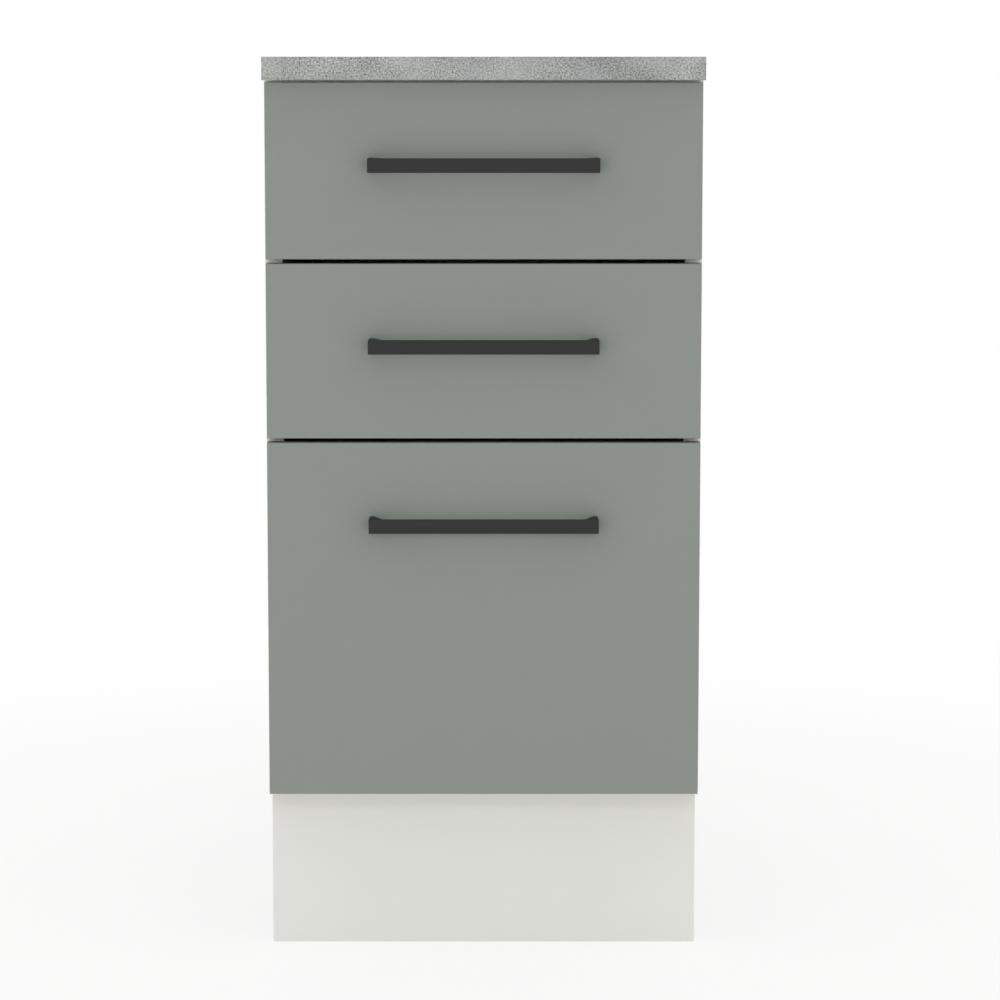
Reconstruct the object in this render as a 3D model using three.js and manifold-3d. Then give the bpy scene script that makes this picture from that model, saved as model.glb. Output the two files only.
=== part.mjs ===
// A fitted base unit with three drawers: two shallow ones over a deep one, a set-back plinth on
// levelling legs and a worktop. Millimetres; X runs across, the fronts face -Y, Z is up, and the
// origin is on the floor under the middle of the unit. Left and right are as seen from the front.

import * as THREE from "three";
import { mergeVertices } from "three/addons/utils/BufferGeometryUtils.js";
import Module from "manifold-3d";

const solids = await Module();
solids.setup();

// Carcass and worktop
const UNIT_WIDTH = 400;
const BOARD = 16;
const PLINTH_SPACE = 155;
const CARCASS_HEIGHT = 660;
const CARCASS_DEPTH = 560;
const RAIL_DEPTH = 80;
const EDGE_RADIUS = 1;
const WORKTOP_THICKNESS = 21;
const WORKTOP_FRONT_OVERHANG = 17;
const WORKTOP_REAR_OVERHANG = 5;
const WORKTOP_EDGE_RADIUS = 1.5;

// Back panel, held in a groove all round
const BACK_PANEL = 3;
const BACK_INSET = 6;
const GROOVE_DEPTH = 8;
const GROOVE_CLEARANCE = 0.3;

// Drawer fronts, bottom to top; the bumpers hold them off the carcass by BUMPER_GAP
const FRONT_THICKNESS = 16;
const FRONT_SIDE_GAP = 1.5;
const FRONT_END_GAP = 2;
const FRONT_GAP = 4;
const SHALLOW_FRONT = 160;
const FRONT_EASING = 0.8;
const BUMPER_GAP = 2;

// Bow handle, drawn in plan
const HANDLE_LENGTH = 210;
const HANDLE_HEIGHT = 13;
const HANDLE_PROJECTION = 25;
const HANDLE_BAR = 4;
const HANDLE_BELOW_TOP = 74.3;
const HANDLE_FOOT_WIDTH = 4;
const HANDLE_FOOT_LEAN = 0.5;
const HANDLE_FOOT_RADIUS = 0.8;
const HANDLE_SHOULDER = 13;
const HANDLE_FILLET = 2;
const HANDLE_EASING = 0.5;

// Steel drawer side, measured inwards from the carcass wall and up from the rail's floor
const SHEET = 1.2;
const SPACE_BEHIND_DRAWERS = 53;
const WEB_FROM_WALL = 12.5;
const SIDE_LIP_FROM_WALL = 2;
const SIDE_TOP = 84.8;
const SIDE_LIP_DROP = 12.8;
const FLOOR_FLANGE = 12.3;
const RAIL_FLOOR_ABOVE_FRONT = 31;
const ROLLED_EDGE = 2.2;
const DEEP_BACK_TOP = 150;
const GALLERY_HEIGHT = 128;
const GALLERY_FROM_WALL = 8.5;
const GALLERY_RADIUS = 5;
const GALLERY_CUP_RADIUS = 6.3;
const GALLERY_CUP_LENGTH = 16;

// Cabinet rail and its rollers
const CHANNEL_HEIGHT = 18.6;
const RAIL_FLANGE = 11;
const RAIL_SETBACK = 3;
const ROLLER_RADIUS = 9;
const ROLLER_WIDTH = 8.9;
const ROLLER_CHAMFER = 0.8;
const PIN_RADIUS = 2.5;
const PIN_HEAD_RADIUS = 4;
const PIN_HEAD = 0.9;
const RUNNING_CLEARANCE = 0.3;
const FLANGE_LIFT = 1.8;
const FRONT_ROLLER_INSET = 14;
const REAR_ROLLER_INSET = 10;
const TRAVEL_LOSS = 125;
const STOP_LUG_HEIGHT = 6;
const ROLLER_FACETS = 24;
const PIN_FACETS = 12;

// Legs, levelling feet and plinth
const LEG_FROM_SIDE = 45;
const LEG_FROM_REAR = 64;
const LEG_SPACE_BEHIND_PLINTH = 30;
const TUBE_RADIUS = 15;
const TUBE_WALL = 3;
const TUBE_BOTTOM = 30;
const SOCKET_PLATE = 64;
const SOCKET_PLATE_THICKNESS = 4;
const SOCKET_DEPTH = 30;
const SOCKET_WALL = 4;
const FOOT_RADIUS = 25;
const FOOT_STEM_LENGTH = 55;
const FIT_CLEARANCE = 0.3;
const LEG_FACETS = 24;
const PLINTH_FROM_FRONTS = 64;
const PLINTH_TOP_GAP = 5;
const CLIP_BELOW_PLINTH_TOP = 38;
const CLIP_HEIGHT = 28;
const CLIP_PLATE = 40;
const CLIP_THICKNESS = 3;

// Places that follow from the sizes above, with the unit's depth centred on the origin
const HALF_WIDTH = UNIT_WIDTH / 2;
const INNER_WALL = HALF_WIDTH - BOARD;
const BEFORE_CARCASS = HANDLE_PROJECTION + FRONT_THICKNESS + BUMPER_GAP;
const OVERALL_DEPTH = BEFORE_CARCASS + CARCASS_DEPTH + WORKTOP_REAR_OVERHANG;
const CARCASS_FRONT = BEFORE_CARCASS - OVERALL_DEPTH / 2;
const CARCASS_REAR = CARCASS_FRONT + CARCASS_DEPTH;
const CARCASS_TOP = PLINTH_SPACE + CARCASS_HEIGHT;
const BACK_PANEL_REAR = CARCASS_REAR - BACK_INSET;
const BACK_PANEL_FRONT = BACK_PANEL_REAR - BACK_PANEL;
const FRONTS_REAR = CARCASS_FRONT - BUMPER_GAP;
const FRONTS_FACE = FRONTS_REAR - FRONT_THICKNESS;
const FRONT_WIDTH = UNIT_WIDTH - 2 * FRONT_SIDE_GAP;
const LOWEST_FRONT = PLINTH_SPACE + FRONT_END_GAP;
const MIDDLE_FRONT = CARCASS_TOP - FRONT_END_GAP - 2 * SHALLOW_FRONT - FRONT_GAP;
const TOP_FRONT = MIDDLE_FRONT + SHALLOW_FRONT + FRONT_GAP;
const DEEP_FRONT = MIDDLE_FRONT - FRONT_GAP - LOWEST_FRONT;
const WORKTOP_FRONT = FRONTS_FACE - WORKTOP_FRONT_OVERHANG;
const WORKTOP_REAR = CARCASS_REAR + WORKTOP_REAR_OVERHANG;
const DRAWER_REAR = BACK_PANEL_FRONT - SPACE_BEHIND_DRAWERS;
const DRAWER_TRAVEL = DRAWER_REAR - FRONTS_REAR - TRAVEL_LOSS;
const WEB_INNER = WEB_FROM_WALL + SHEET;
const DRAWER_HALF_WIDTH = INNER_WALL - WEB_INNER;
const FLANGE_UNDERSIDE = CHANNEL_HEIGHT + FLANGE_LIFT;
const REAR_ROLLER_Y = DRAWER_REAR - REAR_ROLLER_INSET;
const REAR_ROLLER_Z = RUNNING_CLEARANCE + ROLLER_RADIUS;
const RAIL_FRONT = CARCASS_FRONT + RAIL_SETBACK;
const FRONT_ROLLER_Y = RAIL_FRONT + FRONT_ROLLER_INSET;
const FRONT_ROLLER_Z = FLANGE_UNDERSIDE - RUNNING_CLEARANCE - ROLLER_RADIUS;
const PLINTH_FACE = FRONTS_FACE + PLINTH_FROM_FRONTS;
const PLINTH_REAR = PLINTH_FACE + BOARD;
const FRONT_LEG_Y = PLINTH_REAR + LEG_SPACE_BEHIND_PLINTH;
const REAR_LEG_Y = CARCASS_REAR - LEG_FROM_REAR;
const LEG_FROM_MIDDLE = HALF_WIDTH - LEG_FROM_SIDE;
const PLINTH_HEIGHT = PLINTH_SPACE - PLINTH_TOP_GAP;
const CLIP_TOP = PLINTH_HEIGHT - CLIP_BELOW_PLINTH_TOP;

const finish = (color, roughness, metalness = 0) => () =>
  new THREE.MeshStandardMaterial({ color, roughness, metalness });
const FINISHES = {
  front: finish(0x8b908a, 0.6),
  worktop: finish(0x9fa29e, 0.55),
  board: finish(0xe9e7e2, 0.5),
  plinth: finish(0xdcdcd6, 0.5),
  handle: finish(0x393a39, 0.45),
  steel: finish(0xb8bbbd, 0.35, 0.9),
  nylon: finish(0xefede6, 0.4),
  plastic: finish(0x1e1f20, 0.5),
};

// ---- Shaping -------------------------------------------------------------------------------

const X = new THREE.Vector3(1, 0, 0);
const Y = new THREE.Vector3(0, 1, 0);
const Z = new THREE.Vector3(0, 0, 1);

// An outline lies in (y, z) along X, in (x, z) along Y and in (x, y) along Z
const EXTRUSION = {
  x: new THREE.Matrix4().makeBasis(Y, Z, X),
  y: new THREE.Matrix4().makeBasis(X, Z, Y.clone().negate()),
  z: new THREE.Matrix4(),
};

// A revolved profile is a list of [radius, place along the axis]
const REVOLUTION = {
  x: new THREE.Matrix4().makeBasis(Y, X, Z.clone().negate()),
  y: new THREE.Matrix4(),
  z: new THREE.Matrix4().makeBasis(X, Z, Y.clone().negate()),
};

// Merges a geometry into one closed skin with no empty triangles, facing outwards.
function closed(geometry) {
  geometry.deleteAttribute("normal");
  geometry.deleteAttribute("uv");
  const skin = mergeVertices(geometry, 1e-5);
  const place = skin.attributes.position;
  const corners = [0, 1, 2].map(() => new THREE.Vector3());
  const kept = [];
  let volume = 0;
  for (let i = 0; i < skin.index.count; i += 3) {
    const face = [0, 1, 2].map((k) => skin.index.getX(i + k));
    if (new Set(face).size === 3) {
      face.forEach((vertex, k) => corners[k].fromBufferAttribute(place, vertex));
      volume += corners[0].dot(corners[1].clone().cross(corners[2]));
      kept.push(face);
    }
  }
  skin.setIndex((volume < 0 ? kept.map((face) => face.reverse()) : kept).flat());
  return skin;
}

function toSolid(geometry) {
  const skin = closed(geometry);
  return new solids.Manifold(
    new solids.Mesh({
      numProp: 3,
      vertProperties: new Float32Array(skin.attributes.position.array),
      triVerts: new Uint32Array(skin.index.array),
    }),
  );
}

function toGeometry(solid) {
  const mesh = solid.getMesh();
  const geometry = new THREE.BufferGeometry();
  geometry.setAttribute("position", new THREE.BufferAttribute(mesh.vertProperties, mesh.numProp));
  geometry.setIndex(new THREE.BufferAttribute(mesh.triVerts, 1));
  return geometry;
}

const joined = (first, ...others) =>
  toGeometry(others.reduce((whole, geometry) => whole.add(toSolid(geometry)), toSolid(first)));

const cut = (first, ...others) =>
  toGeometry(others.reduce((rest, geometry) => rest.subtract(toSolid(geometry)), toSolid(first)));

function arc(radius, from, to, steps, centre = [0, 0]) {
  return Array.from({ length: steps + 1 }, (_, i) => {
    const angle = from + ((to - from) * i) / steps;
    return [centre[0] + radius * Math.cos(angle), centre[1] + radius * Math.sin(angle)];
  });
}

// An outline from its corners, each [a, b] or [a, b, radius].
function outline(corners, steps = 3) {
  const points = corners.flatMap(([a, b, radius = 0], i) => {
    const corner = new THREE.Vector2(a, b);
    if (radius === 0) {
      return [corner];
    }
    const before = new THREE.Vector2(...corners.at(i - 1)).sub(corner).normalize();
    const after = new THREE.Vector2(...corners[(i + 1) % corners.length]).sub(corner).normalize();
    const half = Math.acos(before.dot(after)) / 2;
    const centre = before.clone().add(after).setLength(radius / Math.sin(half)).add(corner);
    const start = before.multiplyScalar(radius / Math.tan(half)).add(corner).sub(centre).angle();
    const end = after.multiplyScalar(radius / Math.tan(half)).add(corner).sub(centre).angle();
    const turn = THREE.MathUtils.euclideanModulo(end - start + Math.PI, 2 * Math.PI) - Math.PI;
    return arc(radius, start, start + turn, steps, [centre.x, centre.y]).map(
      (point) => new THREE.Vector2(...point),
    );
  });
  return new THREE.Shape(points);
}

// Extrudes an outline along an axis between two places, easing the edges of its ends.
function extruded(shape, axis, from, to, easing = 0) {
  const geometry = new THREE.ExtrudeGeometry(shape, {
    depth: to - from - 2 * easing,
    bevelEnabled: easing > 0,
    bevelThickness: easing,
    bevelSize: easing,
    bevelOffset: -easing,
    bevelSegments: 2,
  });
  const start = axis === "y" ? -to + easing : from + easing;
  return closed(geometry.translate(0, 0, start).applyMatrix4(EXTRUSION[axis]));
}

function revolved(profile, axis, facets) {
  const points = profile.map((point) => new THREE.Vector2(...point));
  return closed(new THREE.LatheGeometry(points, facets).applyMatrix4(REVOLUTION[axis]));
}

const rectangle = (a0, b0, a1, b1) =>
  outline([
    [a0, b0],
    [a1, b0],
    [a1, b1],
    [a0, b1],
  ]);

const block = ([x0, x1], [y0, y1], [z0, z1]) =>
  extruded(rectangle(Math.min(x0, x1), y0, Math.max(x0, x1), y1), "z", z0, z1);

const unit = new THREE.Group();

function add(parent, name, geometry, look, place = [0, 0, 0]) {
  const mesh = new THREE.Mesh(geometry, FINISHES[look]());
  mesh.name = name;
  mesh.position.set(...place);
  parent.add(mesh);
  return mesh;
}

const SIDES = [
  { side: "left", sign: -1 },
  { side: "right", sign: 1 },
];

// ---- Carcass -------------------------------------------------------------------------------

function sidePanel(sign) {
  const plan = [
    [INNER_WALL, CARCASS_FRONT, EDGE_RADIUS],
    [HALF_WIDTH, CARCASS_FRONT, EDGE_RADIUS],
    [HALF_WIDTH, CARCASS_REAR],
    [INNER_WALL, CARCASS_REAR],
    [INNER_WALL, BACK_PANEL_REAR + GROOVE_CLEARANCE],
    [INNER_WALL + GROOVE_DEPTH, BACK_PANEL_REAR + GROOVE_CLEARANCE],
    [INNER_WALL + GROOVE_DEPTH, BACK_PANEL_FRONT - GROOVE_CLEARANCE],
    [INNER_WALL, BACK_PANEL_FRONT - GROOVE_CLEARANCE],
  ];
  const mirrored = plan.map(([x, y, radius]) => [sign * x, y, radius]);
  return extruded(outline(mirrored), "z", PLINTH_SPACE, CARCASS_TOP);
}

function bottomPanel() {
  const top = PLINTH_SPACE + BOARD;
  const section = outline([
    [CARCASS_FRONT, PLINTH_SPACE, EDGE_RADIUS],
    [CARCASS_REAR, PLINTH_SPACE],
    [CARCASS_REAR, top],
    [BACK_PANEL_REAR + GROOVE_CLEARANCE, top],
    [BACK_PANEL_REAR + GROOVE_CLEARANCE, top - GROOVE_DEPTH],
    [BACK_PANEL_FRONT - GROOVE_CLEARANCE, top - GROOVE_DEPTH],
    [BACK_PANEL_FRONT - GROOVE_CLEARANCE, top],
    [CARCASS_FRONT, top, EDGE_RADIUS],
  ]);
  return extruded(section, "x", -INNER_WALL, INNER_WALL);
}

function topRail(front) {
  const section = outline([
    [front, CARCASS_TOP - BOARD, EDGE_RADIUS],
    [front + RAIL_DEPTH, CARCASS_TOP - BOARD, EDGE_RADIUS],
    [front + RAIL_DEPTH, CARCASS_TOP],
    [front, CARCASS_TOP, EDGE_RADIUS],
  ]);
  return extruded(section, "x", -INNER_WALL, INNER_WALL);
}

function backPanel() {
  const reach = INNER_WALL + GROOVE_DEPTH - GROOVE_CLEARANCE;
  const bottom = PLINTH_SPACE + BOARD - GROOVE_DEPTH;
  const face = rectangle(-reach, bottom, reach, CARCASS_TOP);
  return extruded(face, "y", BACK_PANEL_FRONT, BACK_PANEL_REAR);
}

function worktop() {
  const top = CARCASS_TOP + WORKTOP_THICKNESS;
  const section = outline([
    [WORKTOP_FRONT, CARCASS_TOP, WORKTOP_EDGE_RADIUS],
    [WORKTOP_REAR, CARCASS_TOP],
    [WORKTOP_REAR, top],
    [WORKTOP_FRONT, top, WORKTOP_EDGE_RADIUS],
  ]);
  return extruded(section, "x", -HALF_WIDTH, HALF_WIDTH);
}

function plinthPanel() {
  const section = outline([
    [PLINTH_FACE, 0],
    [PLINTH_REAR, 0],
    [PLINTH_REAR, PLINTH_HEIGHT, EDGE_RADIUS],
    [PLINTH_FACE, PLINTH_HEIGHT, EDGE_RADIUS],
  ]);
  return extruded(section, "x", -HALF_WIDTH, HALF_WIDTH);
}

for (const { side, sign } of SIDES) {
  add(unit, `side_panel_${side}`, sidePanel(sign), "board");
}
add(unit, "bottom_panel", bottomPanel(), "board");
add(unit, "front_rail", topRail(CARCASS_FRONT), "board");
add(unit, "rear_rail", topRail(BACK_PANEL_FRONT - GROOVE_CLEARANCE - RAIL_DEPTH), "board");
add(unit, "back_panel", backPanel(), "board");
add(unit, "worktop", worktop(), "worktop");
add(unit, "plinth_panel", plinthPanel(), "plinth");

// ---- Legs, standing on the floor, and the clips that hold the plinth to the front pair -------

function legSocket() {
  const bore = TUBE_RADIUS + FIT_CLEARANCE;
  const wall = bore + SOCKET_WALL;
  const rim = PLINTH_SPACE - SOCKET_DEPTH;
  const underPlate = PLINTH_SPACE - SOCKET_PLATE_THICKNESS;
  const half = SOCKET_PLATE / 2;
  const cornerRadius = 8;
  const seat = underPlate - SOCKET_WALL / 2;
  const plate = outline([
    [-half, -half, cornerRadius],
    [half, -half, cornerRadius],
    [half, half, cornerRadius],
    [-half, half, cornerRadius],
  ]);
  const collar = [
    [0, seat],
    [bore, seat],
    [bore, rim],
    [wall - 1, rim],
    [wall, rim + 1],
    [wall, underPlate - 2],
    [wall + 3, underPlate + 1],
    [0, underPlate + 1],
  ];
  const ribThickness = 3;
  const rib = outline([
    [wall - 1, rim + 6],
    [wall + 1, rim + 6],
    [half - 2, underPlate - 1],
    [half - 2, underPlate + 1],
    [wall - 1, underPlate + 1],
  ]);
  const ribs = [0, 1, 2, 3].map((quarter) =>
    extruded(rib, "y", -ribThickness / 2, ribThickness / 2).rotateZ((quarter * Math.PI) / 2),
  );
  return joined(
    extruded(plate, "z", underPlate, PLINTH_SPACE),
    revolved(collar, "z", LEG_FACETS),
    ...ribs,
  );
}

function legTube() {
  const top = PLINTH_SPACE - SOCKET_PLATE_THICKNESS - SOCKET_WALL / 2;
  const inner = TUBE_RADIUS - TUBE_WALL;
  const collar = TUBE_RADIUS + 1.5;
  return revolved(
    [
      [inner, TUBE_BOTTOM],
      [collar, TUBE_BOTTOM],
      [collar, TUBE_BOTTOM + 5],
      [TUBE_RADIUS, TUBE_BOTTOM + 7],
      [TUBE_RADIUS, top],
      [inner, top],
      [inner, TUBE_BOTTOM],
    ],
    "z",
    LEG_FACETS,
  );
}

// The foot's grip is fluted so that it can be turned by hand.
function legFoot() {
  const stem = TUBE_RADIUS - TUBE_WALL - FIT_CLEARANCE;
  const flutes = 12;
  const grip = TUBE_RADIUS + 2;
  const gripBottom = 16;
  const fluted = Array.from({ length: 2 * flutes }, (_, i) => {
    const angle = (i * Math.PI) / flutes;
    const radius = i % 2 ? grip - 1.6 : grip;
    return [radius * Math.cos(angle), radius * Math.sin(angle)];
  });
  const body = revolved(
    [
      [0, 0],
      [FOOT_RADIUS - 1, 0],
      [FOOT_RADIUS, 1],
      [FOOT_RADIUS, 5],
      [grip - 3, gripBottom + 1],
      [stem, gripBottom + 1],
      [stem, TUBE_BOTTOM + FOOT_STEM_LENGTH - 1],
      [stem - 1, TUBE_BOTTOM + FOOT_STEM_LENGTH],
      [0, TUBE_BOTTOM + FOOT_STEM_LENGTH],
    ],
    "z",
    LEG_FACETS,
  );
  return joined(body, extruded(outline(fluted), "z", gripBottom, TUBE_BOTTOM));
}

// The clip's ring is open towards the rear, so that it snaps over the tube from the front.
function plinthClip() {
  const plateFace = -LEG_SPACE_BEHIND_PLINTH;
  const plateRear = plateFace + CLIP_THICKNESS;
  const inner = TUBE_RADIUS + FIT_CLEARANCE;
  const outer = inner + CLIP_THICKNESS;
  const neck = 6;
  const neckAngle = Math.asin(neck / outer);
  const mouth = Math.PI / 3.6;
  const down = -Math.PI / 2;
  const up = Math.PI / 2;
  const corners = [
    [-CLIP_PLATE / 2, plateFace],
    [CLIP_PLATE / 2, plateFace],
    [CLIP_PLATE / 2, plateRear, 1],
    [neck, plateRear, 1.5],
    ...arc(outer, down + neckAngle, up - mouth, 8),
    ...arc(inner, up - mouth, up + mouth - 2 * Math.PI, 16),
    ...arc(outer, up + mouth, 2 * Math.PI + down - neckAngle, 8),
    [-neck, plateRear, 1.5],
    [-CLIP_PLATE / 2, plateRear, 1],
  ];
  return extruded(outline(corners), "z", CLIP_TOP - CLIP_HEIGHT, CLIP_TOP);
}

for (const { side, sign } of SIDES) {
  for (const [end, y] of [
    ["front", FRONT_LEG_Y],
    ["rear", REAR_LEG_Y],
  ]) {
    const leg = new THREE.Group();
    leg.position.set(sign * LEG_FROM_MIDDLE, y, 0);
    unit.add(leg);
    add(leg, `leg_socket_${end}_${side}`, legSocket(), "plastic");
    add(leg, `leg_tube_${end}_${side}`, legTube(), "plastic");
    add(leg, `leg_foot_${end}_${side}`, legFoot(), "plastic");
    if (end === "front") {
      add(leg, `plinth_clip_${side}`, plinthClip(), "plastic");
    }
  }
}

// ---- Drawers: heights are from the floor of the drawer's own rails ---------------------------

// A section in the (x, z) plane, given inwards from the carcass wall on one side of the unit.
const fromWall = (sign, corners) =>
  outline(corners.map(([inwards, z, radius]) => [sign * (INNER_WALL - inwards), z, radius]));

function pin(sign, root, end, y, z) {
  const along = (inwards) => sign * (INNER_WALL - inwards);
  const shoulder = end - Math.sign(end - root) * PIN_HEAD;
  return revolved(
    [
      [0, along(root)],
      [PIN_RADIUS, along(root)],
      [PIN_RADIUS, along(shoulder)],
      [PIN_HEAD_RADIUS, along(shoulder)],
      [PIN_HEAD_RADIUS, along(end)],
      [0, along(end)],
    ],
    "x",
    PIN_FACETS,
  ).translate(0, y, z);
}

// Where a roller starts, inwards from the wall: each is held between its sheet and its pin's head
const FRONT_PIN_END = RAIL_FLANGE + 0.8;
const FRONT_ROLLER_START = FRONT_PIN_END - PIN_HEAD - RUNNING_CLEARANCE - ROLLER_WIDTH;
const REAR_PIN_END = SHEET + RUNNING_CLEARANCE;
const REAR_ROLLER_START = REAR_PIN_END + PIN_HEAD + RUNNING_CLEARANCE;

// The folded C rail, screwed to the carcass wall.
function cabinetRail(sign) {
  const rear = REAR_ROLLER_Y + ROLLER_RADIUS + RUNNING_CLEARANCE;
  const top = CHANNEL_HEIGHT + SHEET;
  const channel = fromWall(sign, [
    [0, -SHEET],
    [RAIL_FLANGE, -SHEET],
    [RAIL_FLANGE, 0],
    [SHEET, 0],
    [SHEET, CHANNEL_HEIGHT],
    [RAIL_FLANGE, CHANNEL_HEIGHT],
    [RAIL_FLANGE, top],
    [0, top],
  ]);
  const across = (from, to) => [sign * (INNER_WALL - from), sign * (INNER_WALL - to)];
  const rearTab = block(
    across(SHEET / 2, RAIL_FLANGE),
    [rear, rear + SHEET],
    [-SHEET / 2, top - SHEET / 2],
  );
  const rollerWindow = block(
    across(SHEET, RAIL_FLANGE + 1),
    [RAIL_FRONT - 1, FRONT_ROLLER_Y + ROLLER_RADIUS + 4],
    [CHANNEL_HEIGHT - 1, top + 1],
  );
  const lugBottom = CHANNEL_HEIGHT - STOP_LUG_HEIGHT;
  const openRoller = REAR_ROLLER_Y - DRAWER_TRAVEL;
  const contact = Math.sqrt(ROLLER_RADIUS ** 2 - (lugBottom - REAR_ROLLER_Z) ** 2);
  const lugRear = openRoller - contact - RUNNING_CLEARANCE;
  const stopLug = block(
    across(SHEET * 2, RAIL_FLANGE - SHEET),
    [lugRear - SHEET, lugRear],
    [lugBottom, CHANNEL_HEIGHT + SHEET / 2],
  );
  return joined(
    cut(extruded(channel, "y", RAIL_FRONT, rear + SHEET), rollerWindow),
    rearTab,
    stopLug,
    pin(sign, SHEET / 2, FRONT_PIN_END, FRONT_ROLLER_Y, FRONT_ROLLER_Z),
  );
}

// The folded drawer side: floor flange, web, rolled top with its lip, and the running flange.
function drawerSide(sign) {
  const flangeTop = FLANGE_UNDERSIDE + SHEET;
  const lipInner = SIDE_LIP_FROM_WALL + SHEET;
  const section = fromWall(sign, [
    [WEB_INNER + FLOOR_FLANGE, -SHEET],
    [WEB_INNER + FLOOR_FLANGE, 0],
    [WEB_INNER, 0],
    [WEB_INNER, SIDE_TOP, ROLLED_EDGE],
    [SIDE_LIP_FROM_WALL, SIDE_TOP, ROLLED_EDGE],
    [SIDE_LIP_FROM_WALL, SIDE_TOP - SIDE_LIP_DROP],
    [lipInner, SIDE_TOP - SIDE_LIP_DROP],
    [lipInner, SIDE_TOP - SHEET, ROLLED_EDGE - SHEET],
    [WEB_FROM_WALL, SIDE_TOP - SHEET, ROLLED_EDGE - SHEET],
    [WEB_FROM_WALL, flangeTop],
    [SIDE_LIP_FROM_WALL, flangeTop],
    [SIDE_LIP_FROM_WALL, FLANGE_UNDERSIDE],
    [WEB_FROM_WALL, FLANGE_UNDERSIDE],
    [WEB_FROM_WALL, -SHEET],
  ]);
  // The bracket behind the drawer front sits outside the web and reaches towards the wall
  const bracketWall = WEB_FROM_WALL - 1.5;
  const bracketPlan = [
    [WEB_FROM_WALL + SHEET / 2, FRONTS_REAR],
    [lipInner + RUNNING_CLEARANCE, FRONTS_REAR],
    [lipInner + RUNNING_CLEARANCE, FRONTS_REAR + 2],
    [bracketWall, FRONTS_REAR + 2, 1.5],
    [bracketWall, FRONTS_REAR + 38, 1],
    [WEB_FROM_WALL + SHEET / 2, FRONTS_REAR + 38],
  ].map(([inwards, y, radius]) => [sign * (INNER_WALL - inwards), y, radius]);
  return joined(
    extruded(section, "y", FRONTS_REAR, DRAWER_REAR),
    extruded(outline(bracketPlan), "z", flangeTop + 6, SIDE_TOP - 6),
    pin(sign, WEB_FROM_WALL + SHEET / 2, REAR_PIN_END, REAR_ROLLER_Y, REAR_ROLLER_Z),
  );
}

function roller(sign, start) {
  const bore = PIN_RADIUS + RUNNING_CLEARANCE;
  const along = (inwards) => sign * (INNER_WALL - start - inwards);
  return revolved(
    [
      [bore, along(0)],
      [ROLLER_RADIUS - ROLLER_CHAMFER, along(0)],
      [ROLLER_RADIUS, along(ROLLER_CHAMFER)],
      [ROLLER_RADIUS, along(ROLLER_WIDTH - ROLLER_CHAMFER)],
      [ROLLER_RADIUS - ROLLER_CHAMFER, along(ROLLER_WIDTH)],
      [bore, along(ROLLER_WIDTH)],
      [bore, along(0)],
    ],
    "x",
    ROLLER_FACETS,
  );
}

function drawerBottom() {
  const plan = rectangle(-DRAWER_HALF_WIDTH, FRONTS_REAR, DRAWER_HALF_WIDTH, DRAWER_REAR);
  return extruded(plan, "z", 0, BOARD);
}

function shallowBack() {
  const section = outline([
    [DRAWER_REAR - BOARD, BOARD],
    [DRAWER_REAR, BOARD],
    [DRAWER_REAR, SIDE_TOP - SHEET, EDGE_RADIUS],
    [DRAWER_REAR - BOARD, SIDE_TOP - SHEET, EDGE_RADIUS],
  ]);
  return extruded(section, "x", -DRAWER_HALF_WIDTH, DRAWER_HALF_WIDTH);
}

// The deep drawer's back stands higher and widens over the steel sides to carry the gallery.
function deepBack() {
  const wide = INNER_WALL - SIDE_LIP_FROM_WALL;
  const shoulder = SIDE_TOP + RUNNING_CLEARANCE;
  const face = outline([
    [-DRAWER_HALF_WIDTH, BOARD],
    [DRAWER_HALF_WIDTH, BOARD],
    [DRAWER_HALF_WIDTH, shoulder],
    [wide, shoulder],
    [wide, DEEP_BACK_TOP, 6],
    [-wide, DEEP_BACK_TOP, 6],
    [-wide, shoulder],
    [-DRAWER_HALF_WIDTH, shoulder],
  ]);
  return extruded(face, "y", DRAWER_REAR - BOARD, DRAWER_REAR);
}

// The gallery is a tube held in a cup at the front and at the back.
function galleryRail() {
  const end = DRAWER_REAR - BOARD;
  const taper = GALLERY_CUP_RADIUS - GALLERY_RADIUS;
  return revolved(
    [
      [0, FRONTS_REAR],
      [GALLERY_CUP_RADIUS, FRONTS_REAR],
      [GALLERY_CUP_RADIUS, FRONTS_REAR + GALLERY_CUP_LENGTH],
      [GALLERY_RADIUS, FRONTS_REAR + GALLERY_CUP_LENGTH + taper],
      [GALLERY_RADIUS, end - GALLERY_CUP_LENGTH - taper],
      [GALLERY_CUP_RADIUS, end - GALLERY_CUP_LENGTH],
      [GALLERY_CUP_RADIUS, end],
      [0, end],
    ],
    "y",
    16,
  );
}

function drawerFront(height) {
  const bottom = -RAIL_FLOOR_ABOVE_FRONT;
  const face = rectangle(-FRONT_WIDTH / 2, bottom, FRONT_WIDTH / 2, bottom + height);
  return extruded(face, "y", FRONTS_FACE, FRONTS_REAR, FRONT_EASING);
}

// The bow handle in plan: a flat bar, and feet that narrow towards the drawer front.
function handle() {
  const end = HANDLE_LENGTH / 2;
  const outerFace = FRONTS_FACE - HANDLE_PROJECTION;
  const innerFace = outerFace + HANDLE_BAR;
  const tip = end - HANDLE_FOOT_LEAN;
  const half = [
    [end, outerFace, 1],
    [tip, FRONTS_FACE, HANDLE_FOOT_RADIUS],
    [tip - HANDLE_FOOT_WIDTH, FRONTS_FACE, HANDLE_FOOT_RADIUS],
    [end - HANDLE_SHOULDER, innerFace, HANDLE_FILLET],
  ];
  const corners = [...half, ...half.toReversed().map(([x, y, radius]) => [-x, y, radius])];
  const middle = HANDLE_HEIGHT / 2;
  return extruded(outline(corners, 4), "z", -middle, middle, HANDLE_EASING);
}

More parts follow.
